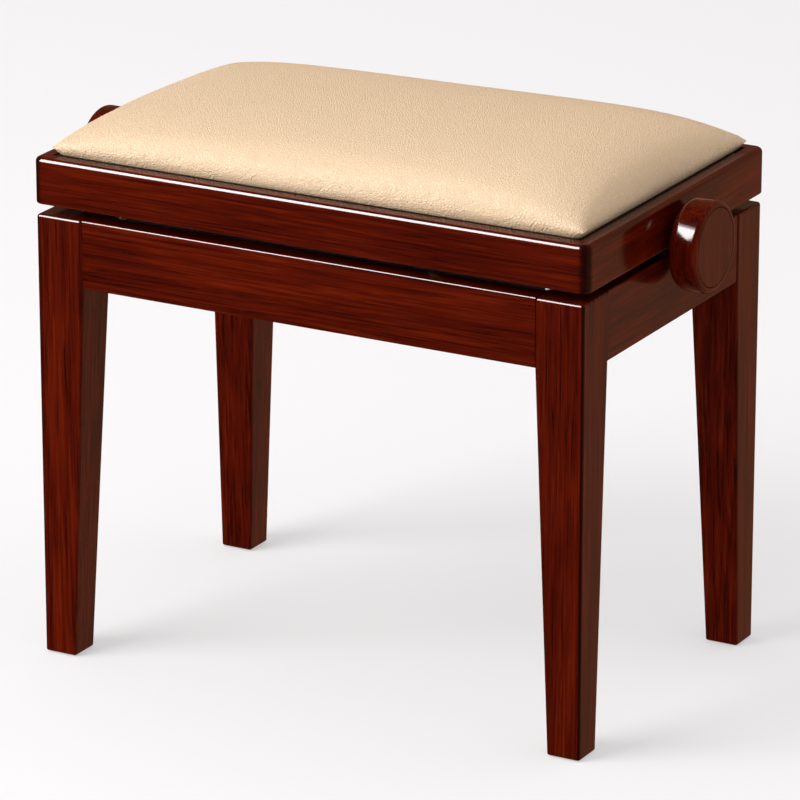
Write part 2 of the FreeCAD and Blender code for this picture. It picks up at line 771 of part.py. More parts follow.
# ---------------------------------------------------------------- spindle
def make_nut_bar():
    """The square bar that the spindle's thread pulls along, with a turned pin at each end."""
    half = nut_bar_side / 2
    half_length = outer_arm_y - side_play
    low, high = upper_pivot_z - half, upper_pivot_z + half
    bar = box(slide_x - half, slide_x + half, -half_length, half_length, low, high)
    pin_end = rail_outer_y + clip_gap + 2 * clip_thickness
    pins = rod(V(slide_x, -pin_end, upper_pivot_z), Y, pin_radius, 2 * pin_end)
    bore_radius = spindle_radius + nut_bore_clearance
    bore = rod(V(slide_x - nut_bar_side, 0, spindle_z), X, bore_radius, 2 * nut_bar_side)
    save("nut_bar", bar.fuse(pins).cut(bore))
    save("nut_bar_clips", *at_front_and_back(sliding_clip(slide_x, upper_pivot_z)))


def stop_collar(x):
    ring = rod(V(x, 0, spindle_z), X, collar_radius, collar_length)
    return ring.cut(rod(V(x - 1, 0, spindle_z), X, spindle_radius, collar_length + 2))


def grub_screw():
    """The screw that locks the +X knob's boss on the spindle."""
    x = (boss_x + knob_back_x) / 2
    length = knob_boss_radius - journal_radius - grub_depth
    return rod(V(x, 0, spindle_z + journal_radius), Z, grub_radius, length)


def knob():
    """The turned wooden knob at the +X end, with the boss behind it."""
    disc = rod(V(knob_back_x, 0, spindle_z), X, knob_radius, knob_length)
    for x, rounding in ((knob_end_x, knob_face_rounding), (knob_back_x, knob_back_rounding)):
        rim = [edge for edge in disc.Edges if abs(edge.CenterOfMass.x - x) < 0.01]
        disc = disc.makeFillet(rounding, rim)
    boss = rod(V(boss_x, 0, spindle_z), X, knob_boss_radius, knob_back_x - boss_x + 1)
    bore = rod(V(boss_x - 1, 0, spindle_z), X, journal_radius, knob_bore_depth + 1)
    tapped_hole = rod(V((boss_x + knob_back_x) / 2, 0, spindle_z), Z, grub_radius, knob_boss_radius + 1)
    return disc.fuse(boss).cut(bore).cut(tapped_hole)


def make_spindle():
    journals = rod(V(-journal_end_x, 0, spindle_z), X, journal_radius, 2 * journal_end_x)
    body = rod(V(-shoulder_x, 0, spindle_z), X, spindle_radius, 2 * shoulder_x)
    save("spindle", body.fuse(journals))
    turned_knob = knob()
    save("knob_right", turned_knob)
    save("knob_left", turned_knob.mirror(V(0, 0, 0), X))
    grub = grub_screw()
    save("knob_grub_screws", grub, grub.mirror(V(0, 0, 0), X))
    half = nut_bar_side / 2
    low_stop = stop_collar(slide_x + half + collar_gap)
    high_stop = stop_collar(raised_slide_x - half - collar_gap - collar_length)
    save("stop_collars", low_stop, high_stop)


os.makedirs("parts", exist_ok=True)
make_stand()
make_lower_rails()
make_outer_arms()
make_inner_arms()
make_seat_frame()
make_pad()
make_upper_steel()
make_nut_bar()
make_spindle()
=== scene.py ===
import math

import bpy
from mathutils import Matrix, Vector


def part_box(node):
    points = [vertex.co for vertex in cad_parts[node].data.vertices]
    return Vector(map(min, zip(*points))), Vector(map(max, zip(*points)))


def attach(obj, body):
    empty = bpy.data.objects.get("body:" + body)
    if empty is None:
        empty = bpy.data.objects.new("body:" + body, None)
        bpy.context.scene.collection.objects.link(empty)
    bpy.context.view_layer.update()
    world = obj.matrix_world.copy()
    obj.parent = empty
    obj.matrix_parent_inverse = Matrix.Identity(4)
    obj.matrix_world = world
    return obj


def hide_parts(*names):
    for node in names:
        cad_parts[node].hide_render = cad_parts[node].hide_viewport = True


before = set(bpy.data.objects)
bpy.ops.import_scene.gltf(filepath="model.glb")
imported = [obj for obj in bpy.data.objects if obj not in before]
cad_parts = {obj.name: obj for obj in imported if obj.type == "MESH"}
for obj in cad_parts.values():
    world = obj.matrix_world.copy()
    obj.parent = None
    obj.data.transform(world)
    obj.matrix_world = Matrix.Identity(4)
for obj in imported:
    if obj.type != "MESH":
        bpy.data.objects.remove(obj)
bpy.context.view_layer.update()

# Looks of a height-adjustable piano bench: lacquered wood, a padded leather seat and steel scissors.
# Metres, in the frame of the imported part: X along the bench, front is -Y, Z up.

bl_info = {
    "name": "Piano Bench",
    "version": (1, 0, 0),
    "blender": (4, 5, 0),
    "location": "3D View > Sidebar > Bench",
    "description": "Finishes for a piano bench: lacquered wood, a padded leather seat and steel scissors",
    "category": "Object",
}

X, Y, Z = 0, 1, 2
SIDES = ("left", "right")
FACES = ("front", "back")
LEGS = [f"leg_{face}_{end}" for face in FACES for end in SIDES]

# Two places closer than this count as one.
CLOSE = 0.00001


# ---------------------------------------------------------------- settings
class WoodSettings(bpy.types.PropertyGroup):
    """Colours and figure of the lacquered wood, and the painted dark reflection in its rounded corners."""

    dark: bpy.props.FloatVectorProperty(
        name="Dark streaks",
        description="Colour of the late wood and the pores",
        subtype="COLOR",
        size=3,
        min=0.0,
        max=1.0,
        default=(0.024, 0.0012, 0.0003),
    )
    middle: bpy.props.FloatVectorProperty(
        name="Middle tone",
        description="Colour of most of the wood",
        subtype="COLOR",
        size=3,
        min=0.0,
        max=1.0,
        default=(0.064, 0.0036, 0.0004),
    )
    light: bpy.props.FloatVectorProperty(
        name="Light streaks",
        description="Colour of the early wood",
        subtype="COLOR",
        size=3,
        min=0.0,
        max=1.0,
        default=(0.118, 0.0088, 0.0008),
    )
    # Painted dark reflection: this colour darkens the rounded corners of the seat frame and the legs. It
    # stands in for the dark room that their gloss mirrors.
    painted_corner_reflection: bpy.props.FloatVectorProperty(
        name="Painted corner reflection",
        description="Colour of the painted dark reflection in the rounded corners",
        subtype="COLOR",
        size=3,
        min=0.0,
        max=1.0,
        default=(0.008, 0.0012, 0.0008),
    )
    streak_length: bpy.props.FloatProperty(
        name="Streak length",
        description="Typical length of one streak along the grain",
        unit="LENGTH",
        min=0.01,
        default=0.09,
    )
    streak_width: bpy.props.FloatProperty(
        name="Streak width",
        description="Typical width of one streak across the grain",
        unit="LENGTH",
        min=0.001,
        default=0.0026,
    )
    lacquer_roughness: bpy.props.FloatProperty(
        name="Lacquer roughness",
        description="0 is a mirror finish",
        subtype="FACTOR",
        min=0.0,
        max=1.0,
        default=0.12,
    )
    # How far the painted dark reflection reaches in from the corners.
    seat_reflection_reach: bpy.props.FloatProperty(
        name="Painted reflection at seat corners",
        description="How far the painted dark reflection reaches from the corners of the seat frame",
        unit="LENGTH",
        default=0.0105,
    )
    leg_reflection_reach: bpy.props.FloatProperty(
        name="Painted reflection at leg corners",
        description="How far the painted dark reflection reaches from the outer corners of the legs",
        unit="LENGTH",
        default=0.0030,
    )


class LeatherSettings(bpy.types.PropertyGroup):
    """Colours and grain of the leather cover, and the painted shade where it tucks into the seat frame."""

    colour: bpy.props.FloatVectorProperty(
        name="Leather",
        description="Colour on top of the grain",
        subtype="COLOR",
        size=3,
        min=0.0,
        max=1.0,
        default=(0.84, 0.635, 0.430),
    )
    crease_colour: bpy.props.FloatVectorProperty(
        name="Creases",
        description="Colour in the creases between the grains",
        subtype="COLOR",
        size=3,
        min=0.0,
        max=1.0,
        default=(0.72, 0.515, 0.320),
    )
    # Painted shade: a near-black colour put where the leather goes down into the seat frame, standing in for
    # the shade in that gap.
    tuck_shade_colour: bpy.props.FloatVectorProperty(
        name="Tuck",
        description="Colour where the leather turns down into the seat frame",
        subtype="COLOR",
        size=3,
        min=0.0,
        max=1.0,
        default=(0.030, 0.016, 0.008),
    )
    grain_size: bpy.props.FloatProperty(
        name="Grain size",
        description="Width of one grain of the pebbled surface",
        unit="LENGTH",
        min=0.0005,
        default=0.0021,
    )


class PadSettings(bpy.types.PropertyGroup):
    """Shape of the padded seat."""

    crown: bpy.props.FloatProperty(
        name="Crown",
        description="Height of the middle of the pad above its shoulder",
        unit="LENGTH",
        default=0.0335,
    )
    lean: bpy.props.FloatProperty(
        name="Lean",
        description="How much fuller the foam has stayed at the right end than in the middle",
        default=0.22,
    )
    lean_back: bpy.props.FloatProperty(
        name="Lean at the back",
        description="How much lower the foam has settled at the back than in the middle",
        default=0.18,
    )
    bulge: bpy.props.FloatProperty(
        name="Bulge",
        description="How far the leather swells out over the seat frame",
        unit="LENGTH",
        default=0.0030,
    )
    side: bpy.props.FloatProperty(
        name="Side",
        description="Height of the side above the seat frame, half way along an edge",
        unit="LENGTH",
        default=0.0065,
    )
    corner_side: bpy.props.FloatProperty(
        name="Side at the corners",
        description="Height of the side above the seat frame at the corners",
        unit="LENGTH",
        default=0.0045,
    )
    corner_reach: bpy.props.FloatProperty(
        name="Corner reach",
        description="How far the corners reach out over the seat frame",
        unit="LENGTH",
        default=0.0025,
    )
    tuck: bpy.props.FloatProperty(
        name="Tuck",
        description="How far the leather draws in where it goes down into the seat frame",
        unit="LENGTH",
        default=0.0030,
    )
    roll_height: bpy.props.FloatProperty(
        name="Roll height",
        description="Height over which the leather rolls out from under its bulge",
        unit="LENGTH",
        default=0.0035,
    )
    return_width: bpy.props.FloatProperty(
        name="Return width",
        description="How far the leather turns in under the board",
        unit="LENGTH",
        default=0.0200,
    )
    voxel: bpy.props.FloatProperty(
        name="Mesh size",
        description="Size of the faces that the cloth simulation works on",
        unit="LENGTH",
        default=0.0040,
    )
    pressure: bpy.props.FloatProperty(
        name="Stuffing pressure",
        description="How hard the foam pushes the leather out",
        default=4.0,
    )
    swell_limit: bpy.props.FloatProperty(
        name="Swell limit",
        description="The furthest that the stuffing may push the leather",
        unit="LENGTH",
        default=0.0012,
    )


class KnobSettings(bpy.types.PropertyGroup):
    """Shape of the turned knobs."""

    thickness: bpy.props.FloatProperty(
        name="Thickness",
        description="Thickness of the knob's disc",
        unit="LENGTH",
        default=0.0285,
    )
    face_rounding: bpy.props.FloatProperty(
        name="Face rounding",
        description="Rounding between the face and the side",
        unit="LENGTH",
        default=0.0045,
    )
    back_rounding: bpy.props.FloatProperty(
        name="Back rounding",
        description="Rounding between the side and the back",
        unit="LENGTH",
        default=0.0090,
    )
    groove: bpy.props.FloatProperty(
        name="Groove",
        description="Width of the fine groove round the face",
        unit="LENGTH",
        default=0.0009,
    )
    boss_radius: bpy.props.FloatProperty(
        name="Boss radius",
        description="Radius of the boss behind the knob",
        unit="LENGTH",
        default=0.0150,
    )
    bore_radius: bpy.props.FloatProperty(
        name="Bore radius",
        description="Radius of the hole that takes the spindle",
        unit="LENGTH",
        default=0.0060,
    )
    screw_radius: bpy.props.FloatProperty(
        name="Screw radius",
        description="Radius of the tapped hole for the grub screw",
        unit="LENGTH",
        default=0.0025,
    )
    bore_depth: bpy.props.FloatProperty(
        name="Bore depth",
        description="Depth of the hole that takes the spindle",
        unit="LENGTH",
        default=0.0220,
    )


class SpindleSettings(bpy.types.PropertyGroup):
    """Shape of the threaded spindle."""

    lead: bpy.props.FloatProperty(
        name="Lead",
        description="How far one turn of the thread goes",
        unit="LENGTH",
        default=0.0040,
    )
    root_radius: bpy.props.FloatProperty(
        name="Root radius",
        description="Radius at the bottom of the thread",
        unit="LENGTH",
        default=0.0054,
    )
    end_radius: bpy.props.FloatProperty(
        name="End radius",
        description="Radius of the plain ends that turn in the bushings and the knobs",
        unit="LENGTH",
        default=0.0060,
    )
    steps: bpy.props.IntProperty(
        name="Steps",
        description="Faces in one turn of the thread",
        default=28,
    )


class StudioSettings(bpy.types.PropertyGroup):
    """Floor, lights and camera."""

    floor_colour: bpy.props.FloatVectorProperty(
        name="Floor",
        description="Colour of the floor",
        subtype="COLOR",
        size=3,
        min=0.0,
        max=1.0,
        default=(0.45, 0.44, 0.445),
    )
    floor_glow: bpy.props.FloatProperty(
        name="Floor glow",
        description="Light that the floor gives out itself, which keeps the shadows soft",
        min=0.0,
        default=0.44,
    )
    mirrored_room: bpy.props.FloatProperty(
        name="Mirrored room",
        description="Brightness of the room as the lacquer mirrors it",
        min=0.0,
        default=0.30,
    )
    fill: bpy.props.FloatProperty(
        name="Fill light",
        description="Strength of the even light from low down, all round",
        min=0.0,
        default=0.28,
    )
    overhead: bpy.props.FloatProperty(
        name="Overhead",
        description="How many times stronger the even light is from straight above",
        min=0.0,
        default=3.7,
    )
    key: bpy.props.FloatProperty(
        name="Key light",
        description="Power of the large light at the front left",
        unit="POWER",
        min=0.0,
        default=222.0,
    )
    glint: bpy.props.FloatProperty(
        name="Glint light",
        description="Power of the light that only shows in gloss, as a bright line along rounded edges",
        unit="POWER",
        min=0.0,
        default=230.0,
    )
    camera_azimuth: bpy.props.FloatProperty(
        name="Camera azimuth",
        description="Turn of the camera from the front towards the right end",
        subtype="ANGLE",
        default=math.radians(29.0),
    )
    camera_elevation: bpy.props.FloatProperty(
        name="Camera elevation",
        description="Height of the camera above the horizon, as an angle",
        subtype="ANGLE",
        default=math.radians(18.94),
    )
    camera_distance: bpy.props.FloatProperty(
        name="Camera distance",
        description="From the camera to the point that it looks at",
        unit="LENGTH",
        default=4.9734,
    )
    camera_lens: bpy.props.FloatProperty(
        name="Focal length",
        description="Focal length on a 36 mm sensor, in millimetres",
        default=254.3,
    )


# ---------------------------------------------------------------- material helpers
class Recipe:
    """A new material with short ways to add nodes to it."""

    def __init__(self, name):
        self.material = bpy.data.materials.new(name)
        self.material.use_nodes = True
        self.nodes = self.material.node_tree.nodes
        self.links = self.material.node_tree.links
        self.shader = self.nodes["Principled BSDF"]

    def join(self, output, target):
        self.links.new(output, target)

    def place(self, scale=(1, 1, 1), turn=(0, 0, 0)):
        """Object coordinates, turned and then scaled for each axis."""
        coordinates = self.nodes.new("ShaderNodeTexCoord")
        turned = self.nodes.new("ShaderNodeMapping")
        turned.inputs["Rotation"].default_value = turn
        scaled = self.nodes.new("ShaderNodeMapping")
        scaled.inputs["Scale"].default_value = scale
        self.join(coordinates.outputs["Object"], turned.inputs["Vector"])
        self.join(turned.outputs["Vector"], scaled.inputs["Vector"])
        return scaled.outputs["Vector"]

    def place_along(self, axis):
        """The X, Y or Z object coordinate."""
        split = self.nodes.new("ShaderNodeSeparateXYZ")
        self.join(self.place(), split.inputs[0])
        return split.outputs[axis]

    def noise(self, vector, scale, detail=2.0, roughness=0.5, distortion=0.0):
        node = self.nodes.new("ShaderNodeTexNoise")
        node.inputs["Scale"].default_value = scale
        node.inputs["Detail"].default_value = detail
        node.inputs["Roughness"].default_value = roughness
        node.inputs["Distortion"].default_value = distortion
        self.join(vector, node.inputs["Vector"])
        return node.outputs["Fac"]

    def ramp(self, value, stops):
        """A colour ramp. Each stop is a position and a grey or a colour."""
        node = self.nodes.new("ShaderNodeValToRGB")
        elements = node.color_ramp.elements
        while len(elements) < len(stops):
            elements.new(0.5)
        for element, (position, colour) in zip(elements, stops):
            element.position = position
            shade = (colour,) * 3 if isinstance(colour, float) else tuple(colour)
            element.color = (*shade, 1.0)
        self.join(value, node.inputs["Fac"])
        return node.outputs["Color"]

    def mix(self, factor, first, second, blend="MIX"):
        """Two colours mixed. The factor is an output or a number."""
        node = self.nodes.new("ShaderNodeMix")
        node.data_type = "RGBA"
        node.blend_type = blend
        for value, socket in ((factor, node.inputs[0]), (first, node.inputs[6]), (second, node.inputs[7])):
            if isinstance(value, bpy.types.NodeSocket):
                self.join(value, socket)
            elif isinstance(value, (int, float)):
                socket.default_value = value
            else:
                socket.default_value = (*value, 1.0)
        return node.outputs[2]

    def math(self, operation, first, second=0.0, clamp=False):
        node = self.nodes.new("ShaderNodeMath")
        node.operation = operation
        node.use_clamp = clamp
        for value, socket in ((first, node.inputs[0]), (second, node.inputs[1])):
            if isinstance(value, bpy.types.NodeSocket):
                self.join(value, socket)
            else:
                socket.default_value = value
        return node.outputs[0]

    def between(self, value, low, high):
        """0 below low, 1 above high and smooth between them."""
        node = self.nodes.new("ShaderNodeMapRange")
        node.interpolation_type = "SMOOTHSTEP"
        node.inputs["From Min"].default_value = low
        node.inputs["From Max"].default_value = high
        self.join(value, node.inputs["Value"])
        return node.outputs["Result"]

    def bump(self, height, distance, strength=1.0, below=None):
        """A bump from a height between 0 and 1. It lies over another bump if one is given."""
        node = self.nodes.new("ShaderNodeBump")
        node.inputs["Strength"].default_value = strength
        node.inputs["Distance"].default_value = distance
        self.join(height, node.inputs["Height"])
        if below is not None:
            self.join(below, node.inputs["Normal"])
        return node.outputs["Normal"]


def give(objects, material):
    for piece in objects:
        piece.data.materials.clear()
        piece.data.materials.append(material)


def nodes_named(names):
    return [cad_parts[name] for name in names]


# ---------------------------------------------------------------- wood
def stretched(grain_axis, along, across):
    """Texture scale for each axis: long features along the grain and short ones across it."""
    scale = [across, across, across]
    scale[grain_axis] = along
    return scale


def painted_reflection_mask(recipe, corner, radius):
    """Mask of the painted dark reflection: 1 at the four corners (+-x, +-y) of a piece, falling to 0 at a
    distance of radius from them.
    """
    shares = []
    for axis, edge in (("X", corner[0]), ("Y", corner[1])):
        reach = recipe.math("ABSOLUTE", recipe.place_along(axis))
        shares.append(recipe.between(reach, edge - radius, edge - radius * 0.45))
    return recipe.math("MULTIPLY", *shares)


def lacquered_wood(name, grain_axis, settings, corner=None, radius=0.0):
    """Dark red wood under clear gloss lacquer, with its grain along one axis: X, Y or Z. Given a corner, a
    dark reflection is painted into its rounded corners.
    """
    recipe = Recipe(name)
    along = 1 / settings.streak_length
    across = 1 / settings.streak_width
    streaks_at = recipe.place(stretched(grain_axis, along, across))
    broad_at = recipe.place(stretched(grain_axis, along * 0.35, across * 0.18))
    pores_at = recipe.place(stretched(grain_axis, along * 4, across * 7))
    streaks = recipe.noise(streaks_at, 1.0, detail=5.0, roughness=0.62, distortion=0.6)
    broad = recipe.noise(broad_at, 1.0, detail=2.0, roughness=0.5, distortion=0.8)
    pores = recipe.noise(pores_at, 1.0, detail=1.0, roughness=0.4)
    together = recipe.math("ADD", recipe.math("MULTIPLY", streaks, 0.7), recipe.math("MULTIPLY", broad, 0.3))
    tone = recipe.ramp(together, [(0.36, settings.dark), (0.50, settings.middle), (0.64, settings.light)])
    pore_mask = recipe.ramp(pores, [(0.30, 1.0), (0.42, 0.0)])
    colour = recipe.mix(recipe.math("MULTIPLY", pore_mask, 0.3), tone, settings.dark)
    # Painted dark reflection: the rounded corners are darkened in colour, standing in for the reflection of a
    # dark room.
    if corner is not None:
        reflection_share = painted_reflection_mask(recipe, corner, radius)
        colour = recipe.mix(recipe.math("MULTIPLY", reflection_share, 0.85), colour, settings.painted_corner_reflection)
    recipe.join(colour, recipe.shader.inputs["Base Color"])
    recipe.shader.inputs["Roughness"].default_value = 0.42
    recipe.shader.inputs["Specular IOR Level"].default_value = 0.0
    recipe.shader.inputs["Coat Weight"].default_value = 1.0
    recipe.shader.inputs["Coat Roughness"].default_value = settings.lacquer_roughness
    recipe.shader.inputs["Coat IOR"].default_value = 1.48
    wave = recipe.noise(recipe.place((9, 9, 9)), 1.0, detail=1.0)
    recipe.join(recipe.bump(wave, 0.0012, 0.35), recipe.shader.inputs["Coat Normal"])
    recipe.join(recipe.bump(streaks, 0.0003, 0.4), recipe.shader.inputs["Normal"])
    return recipe.material


class BENCH_OT_finish_wood(bpy.types.Operator):
    """Gives the legs, aprons and seat rails their lacquered wood"""

    bl_idname = "bench.finish_wood"
    bl_label = "Finish the wood"

    def execute(self, context):
        settings = context.scene.bench_wood
        # Corners of the seat frame and the legs, and how far the dark reflection painted into their colour
        # reaches.
        seat_corner = (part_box("seat_rail_right")[1].x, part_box("seat_rail_back")[1].y)
        leg_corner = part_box("leg_back_right")[1][:2]
        seat_painted_reach, leg_painted_reach = settings.seat_reflection_reach, settings.leg_reflection_reach
        groups = (
            ("lacquered_aprons_long", X, ["apron_front", "apron_back"], None, 0),
            ("lacquered_aprons_short", Y, ["apron_left", "apron_right"], None, 0),
            ("lacquered_rails_long", X, ["seat_rail_front", "seat_rail_back"], seat_corner, seat_painted_reach),
            ("lacquered_rails_short", Y, ["seat_rail_left", "seat_rail_right"], seat_corner, seat_painted_reach),
            ("lacquered_legs", Z, LEGS, leg_corner, leg_painted_reach),
        )
        for name, grain_axis, members, corner, radius in groups:
            give(nodes_named(members), lacquered_wood(name, grain_axis, settings, corner, radius))
        return {"FINISHED"}


# ---------------------------------------------------------------- leather
def pebbled_leather(settings):
    """Cream leather with a pebbled grain, creased low on its sides, with painted shade where it tucks into
    the frame.
    """
    recipe = Recipe("pebbled_leather")
    frame_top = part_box("seat_rail_front")[1].z
    height = recipe.place_along("Z")
    slant = (0.3, 0.7, 0.6)
    pebbles_across = 1 / settings.grain_size
    pebbles = recipe.nodes.new("ShaderNodeTexVoronoi")
    pebbles.feature = "DISTANCE_TO_EDGE"
    pebbles.inputs["Scale"].default_value = 1.0
    pebbles_at = recipe.place((pebbles_across * 0.6, pebbles_across, pebbles_across), slant)
    recipe.join(pebbles_at, pebbles.inputs["Vector"])
    grain = recipe.ramp(pebbles.outputs["Distance"], [(0.0, 0.0), (0.30, 1.0)])
    creases_at = recipe.place((pebbles_across * 0.2, pebbles_across * 0.75, pebbles_across * 0.75), slant)
    creases = recipe.noise(creases_at, 1.0, detail=2.0, roughness=0.5, distortion=0.5)
    low_on_side = recipe.between(height, frame_top + 0.034, frame_top + 0.010)
    creases = recipe.math("MULTIPLY", creases, recipe.math("ADD", low_on_side, 0.12))
    handled = recipe.noise(recipe.place(), 14.0, detail=3.0)
    colour = recipe.mix(grain, settings.crease_colour, settings.colour)
    colour = recipe.mix(recipe.math("MULTIPLY", handled, 0.12), colour, settings.crease_colour)
    # Painted shade: the lowest millimetre or so of the leather, just above the seat frame's top, is turned
    # near-black.
    clear_of_tuck_shade = recipe.between(height, frame_top - 0.0005, frame_top + 0.0010)
    colour = recipe.mix(clear_of_tuck_shade, settings.tuck_shade_colour, colour)
    recipe.join(colour, recipe.shader.inputs["Base Color"])
    recipe.shader.inputs["Roughness"].default_value = 0.50
    recipe.shader.inputs["Specular IOR Level"].default_value = 0.28
    creased = recipe.bump(creases, 0.0012, 0.9)
    recipe.join(recipe.bump(grain, 0.0005, 0.9, creased), recipe.shader.inputs["Normal"])
    return recipe.material


def deselect_all():
    for piece in bpy.context.selected_objects:
        piece.select_set(False)


def make_active(piece):
    deselect_all()
    piece.select_set(True)
    bpy.context.view_layer.objects.active = piece


def apply_modifiers(piece):
    make_active(piece)
    for modifier in list(piece.modifiers):
        bpy.ops.object.modifier_apply(modifier=modifier.name)


def select_where(piece, test):
    """Selects the vertices that pass a test on their place, in edit mode, with the edges between them."""
    bpy.ops.object.mode_set(mode="OBJECT")
    mesh = piece.data
    mesh.polygons.foreach_set("select", [False] * len(mesh.polygons))
    mesh.edges.foreach_set("select", [False] * len(mesh.edges))
    mesh.vertices.foreach_set("select", [bool(test(vertex.co)) for vertex in mesh.vertices])
    bpy.ops.object.mode_set(mode="EDIT")
    bpy.ops.mesh.select_mode(type="VERT")


def crown_share(share_x, share_y):
    """How much of the crown is left at a place, given as shares of the way from the middle to the edges.

    The crown falls away as (1 - share**power)**root on each axis, and it has settled at the corners.
    """
    power_along, root_along = 6.3, 0.44
    power_across, root_across = 1.8, 0.30
    settled, corner_power = 0.52, 4.8
    along = max(0.0, 1 - share_x**power_along) ** root_along
    across = max(0.0, 1 - share_y**power_across) ** root_across
    return along * across * (1 - settled * (share_x * share_y) ** corner_power)


def crowned_block(settings):
    """The pad before its leather is drawn tight: a low side, a crown over it and corners that reach out."""
    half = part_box("leather_cover")[1]
    frame_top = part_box("seat_rail_front")[1].z
    board_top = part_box("seat_board")[1].z
    corner_power = 7
    deselect_all()
    bpy.ops.mesh.primitive_grid_add(x_subdivisions=140, y_subdivisions=90, size=2, location=(0, 0, 0))
    block = bpy.context.object
    for vertex in block.data.vertices:
        share_x = abs(math.sin(vertex.co.x * math.pi / 2))
        share_y = abs(math.sin(vertex.co.y * math.pi / 2))
        in_corner = (share_x * share_y) ** corner_power
        reach = settings.corner_reach * in_corner
        x = math.copysign((half.x + settings.bulge) * share_x + reach, vertex.co.x)
        y = math.copysign((half.y + settings.bulge) * share_y + reach, vertex.co.y)
        side = settings.corner_side + (settings.side - settings.corner_side) * (1 - in_corner)
        crown = settings.crown * (1 + settings.lean * x / half.x - settings.lean_back * y / half.y)
        vertex.co = (x, y, frame_top + side + crown * crown_share(share_x, share_y))
    bpy.ops.object.mode_set(mode="EDIT")
    bpy.ops.mesh.select_all(action="SELECT")
    bpy.ops.mesh.region_to_loop()
    bpy.ops.mesh.extrude_region_move()
    bpy.ops.object.mode_set(mode="OBJECT")
    rim_x, rim_y = half.x - settings.tuck, half.y - settings.tuck
    for vertex in block.data.vertices:
        if vertex.select:
            x = max(-rim_x, min(rim_x, vertex.co.x))
            y = max(-rim_y, min(rim_y, vertex.co.y))
            vertex.co = (x, y, frame_top)
    bpy.ops.object.mode_set(mode="EDIT")
    bpy.ops.mesh.extrude_region_move(
        TRANSFORM_OT_translate={"value": (0, 0, board_top - frame_top)}
    )
    bpy.ops.mesh.edge_face_add()
    bpy.ops.mesh.select_all(action="SELECT")
    bpy.ops.mesh.normals_make_consistent(inside=False)
    bpy.ops.object.mode_set(mode="OBJECT")
    return block


def draw_tight(pad, settings, held_below):
    """Lets the foam swell against the leather by a cloth simulation, and keeps each point near its place."""
    started_at = [vertex.co.copy() for vertex in pad.data.vertices]
    held = pad.vertex_groups.new(name="held")
    held.add([vertex.index for vertex in pad.data.vertices if vertex.co.z < held_below], 1.0, "REPLACE")
    make_active(pad)
    cloth = pad.modifiers.new("cloth", "CLOTH")
    cloth.settings.quality = 6
    cloth.settings.mass = 0.4
    cloth.settings.tension_stiffness = 40
    cloth.settings.compression_stiffness = 40
    cloth.settings.shear_stiffness = 20
    cloth.settings.bending_stiffness = 8
    cloth.settings.use_pressure = True
    cloth.settings.uniform_pressure_force = settings.pressure
    cloth.settings.vertex_group_mass = "held"
    cloth.settings.effector_weights.gravity = 0
    cloth.point_cache.frame_start = 1
    cloth.point_cache.frame_end = 20
    for number in range(1, 21):
        bpy.context.scene.frame_set(number)
    apply_modifiers(pad)
    bpy.context.scene.frame_set(1)
    for vertex, start in zip(pad.data.vertices, started_at):
        moved = vertex.co - start
        if moved.length > settings.swell_limit:
            vertex.co = start + moved.normalized() * settings.swell_limit
    make_active(pad)
    relax = pad.modifiers.new("relax", "SMOOTH")
    relax.factor = 0.5
    relax.iterations = 6
    apply_modifiers(pad)


def press_into_frame(pad, settings):
    """Draws the lowest few millimetres of the side in, so that the leather rolls over the seat frame."""
    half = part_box("leather_cover")[1]
    frame_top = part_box("seat_rail_front")[1].z
    for vertex in pad.data.vertices:
        height = (vertex.co.z - frame_top) / settings.roll_height
        if height < 1:
            share = math.sin(max(0.0, height) * math.pi / 2)
            past_rim = share * (settings.bulge + settings.tuck) - settings.tuck
            vertex.co.x = max(-half.x - past_rim, min(half.x + past_rim, vertex.co.x))
            vertex.co.y = max(-half.y - past_rim, min(half.y + past_rim, vertex.co.y))


def leather_return(settings):
    """The rim of the leather that turns in under the board, where the staples hold it."""
    low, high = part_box("leather_cover")
    board_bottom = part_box("seat_board")[0].z
    thickness = board_bottom - low.z
    deselect_all()
    bpy.ops.mesh.primitive_cube_add(size=1, location=(0, 0, low.z + thickness / 2))
    rim = bpy.context.object
    rim.scale = (2 * high.x, 2 * high.y, thickness)
    bpy.ops.object.transform_apply(location=True, rotation=True, scale=True)
    bpy.ops.object.mode_set(mode="EDIT")
    bpy.ops.mesh.select_mode(type="FACE")
    bpy.ops.mesh.select_all(action="DESELECT")
    bpy.ops.object.mode_set(mode="OBJECT")
    for face in rim.data.polygons:
        face.select = abs(face.normal.z) > 0.9
    bpy.ops.object.mode_set(mode="EDIT")
    bpy.ops.mesh.inset(thickness=settings.return_width, depth=0, use_individual=True)
    bpy.ops.mesh.bridge_edge_loops()
    bpy.ops.mesh.select_all(action="SELECT")
    bpy.ops.mesh.bevel(offset=thickness / 3, segments=2, profile=0.5, affect="EDGES")
    bpy.ops.mesh.normals_make_consistent(inside=False)
    bpy.ops.object.mode_set(mode="OBJECT")
    return rim


class BENCH_OT_make_pad(bpy.types.Operator):
    """Makes the padded leather seat, with its leather drawn over foam and tucked under the board"""

    bl_idname = "bench.make_pad"
    bl_label = "Make the pad"

    def execute(self, context):
        settings = context.scene.bench_pad
        frame_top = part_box("seat_rail_front")[1].z
        pad = crowned_block(settings)
        pad.name = "leather_pad"
        make_active(pad)
        remesh = pad.modifiers.new("remesh", "REMESH")
        remesh.mode = "VOXEL"
        remesh.voxel_size = settings.voxel
        apply_modifiers(pad)
        draw_tight(pad, settings, frame_top)
        smooth = pad.modifiers.new("smooth", "SUBSURF")
        smooth.levels = 1
        smooth.render_levels = 1
        apply_modifiers(pad)
        press_into_frame(pad, settings)
        rim = leather_return(settings)
        deselect_all()
        rim.select_set(True)
        pad.select_set(True)
        context.view_layer.objects.active = pad
        bpy.ops.object.join()
        pad.data.polygons.foreach_set("use_smooth", [True] * len(pad.data.polygons))
        give([pad], pebbled_leather(context.scene.bench_leather))
        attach(pad, "seat")
        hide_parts("leather_cover", "foam_pad")
        return {"FINISHED"}


